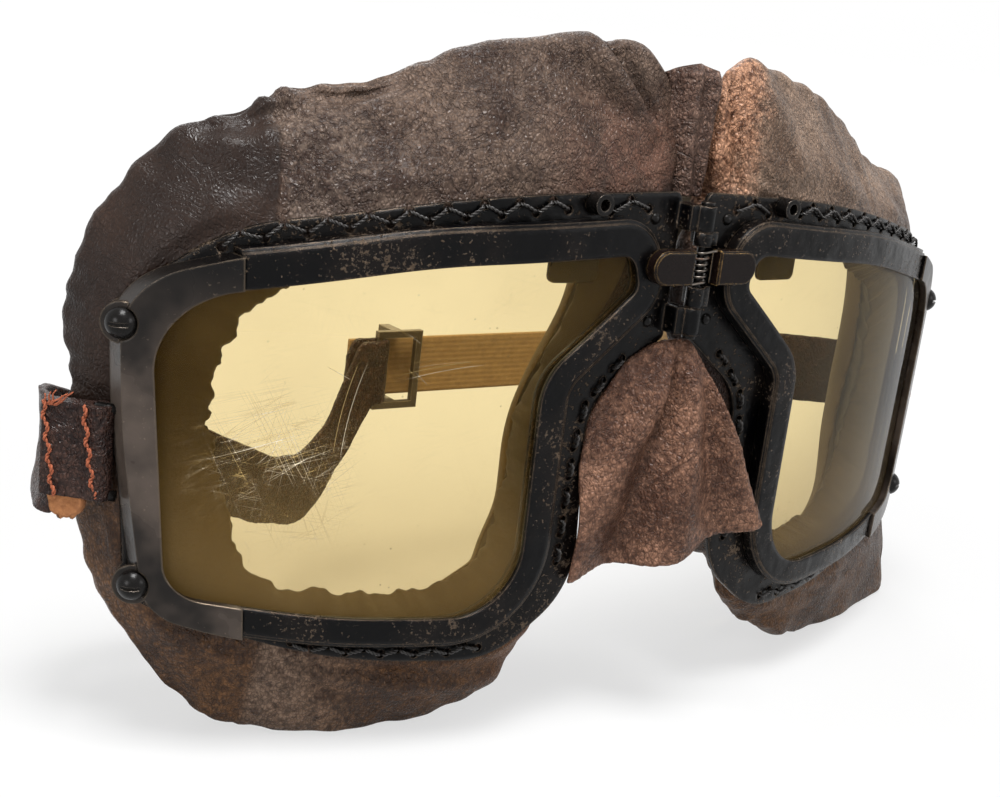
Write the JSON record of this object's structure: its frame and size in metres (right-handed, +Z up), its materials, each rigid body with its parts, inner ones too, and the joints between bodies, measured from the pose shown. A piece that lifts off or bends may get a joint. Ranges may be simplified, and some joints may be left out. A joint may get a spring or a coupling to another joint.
{
  "type": "flying goggles",
  "caption": "Aviator flying goggles with amber curved lenses in black metal frames, a sprung nose hinge, a laced leather face mask and an adjustable head strap.",
  "frame": {"origin": "centre of the foot of the bounding box", "axes": "+Z up, the lenses face -Y, +X to the right of someone who looks at the front"},
  "size_m": [0.1887, 0.0734, 0.1102],
  "materials": {
    "black_paint": "worn gloss black enamel on pressed brass",
    "satin_black": "satin black",
    "dark_steel": "blackened steel, rubbed bright on the heads",
    "spring_steel": "oiled spring wire",
    "worn_brass": "brass with worn black finish",
    "amber_lens": "amber tinted pane",
    "black_thread": "waxed black cord",
    "mask_leather": "soft brown grained leather, worn grey",
    "strap_leather": "dark brown leather",
    "lining_cloth": "soft padded lining",
    "elastic_web": "woven elastic",
    "buckle_metal": "dull plated steel"
  },
  "bodies": {
    "left_half": {"centre_gusset": "mask_leather", "hinge_pin": "dark_steel", "hinge_spring": "spring_steel", "left_clamp_screws": "dark_steel", "left_end_clamp": "satin_black", "left_lacing": "black_thread", "left_leather_mask": "mask_leather", "left_lens": "amber_lens", "left_lens_clip": "satin_black", "left_lens_rim": "black_paint", "left_mask_lining": "lining_cloth", "left_mask_plate": "black_paint", "left_plate_rivets": "dark_steel", "left_screen_socket": "dark_steel", "left_stop_tab": "worn_brass", "left_strap_bar": "dark_steel", "nose_flap": "mask_leather"},
    "right_half": {"right_clamp_screws": "dark_steel", "right_end_clamp": "satin_black", "right_lacing": "black_thread", "right_leather_mask": "mask_leather", "right_lens": "amber_lens", "right_lens_clip": "satin_black", "right_lens_rim": "black_paint", "right_mask_lining": "lining_cloth", "right_mask_plate": "black_paint", "right_plate_rivets": "dark_steel", "right_screen_socket": "dark_steel", "right_stop_tab": "worn_brass", "right_strap_bar": "dark_steel"},
    "left_strap": {"left_strap_tab": "strap_leather", "left_strap_leather": "strap_leather", "strap_buckle": "buckle_metal", "buckle_keeper": "buckle_metal"},
    "right_strap": {"right_strap_tab": "strap_leather", "right_strap_leather": "strap_leather", "elastic_band": "elastic_web"}
  },
  "joints": [
    {"name": "bridge_hinge", "type": "hinge", "parent": "left_half", "child": "right_half", "pos_m": [-0.00001, -0.02991, 0.0769], "axis": [0, 0, 1], "range_deg": [-5, 15], "stiffness_Nm_per_rad": 0.05},
    {"name": "left_strap_swing", "type": "hinge", "parent": "left_half", "child": "left_strap", "pos_m": [-0.08675, -0.00401, 0.0454], "axis": [0, 0, 1], "range_deg": [-2.5, 7.5]},
    {"name": "right_strap_swing", "type": "hinge", "parent": "right_half", "child": "right_strap", "pos_m": [0.08672, -0.00401, 0.0454], "axis": [0, 0, 1], "range_deg": [-7.5, 2.5]}
  ],
  "couplings": [
    {"joint": "left_strap_swing", "follows": "bridge_hinge", "ratio": 0.5},
    {"joint": "right_strap_swing", "follows": "bridge_hinge", "ratio": -0.5}
  ]
}
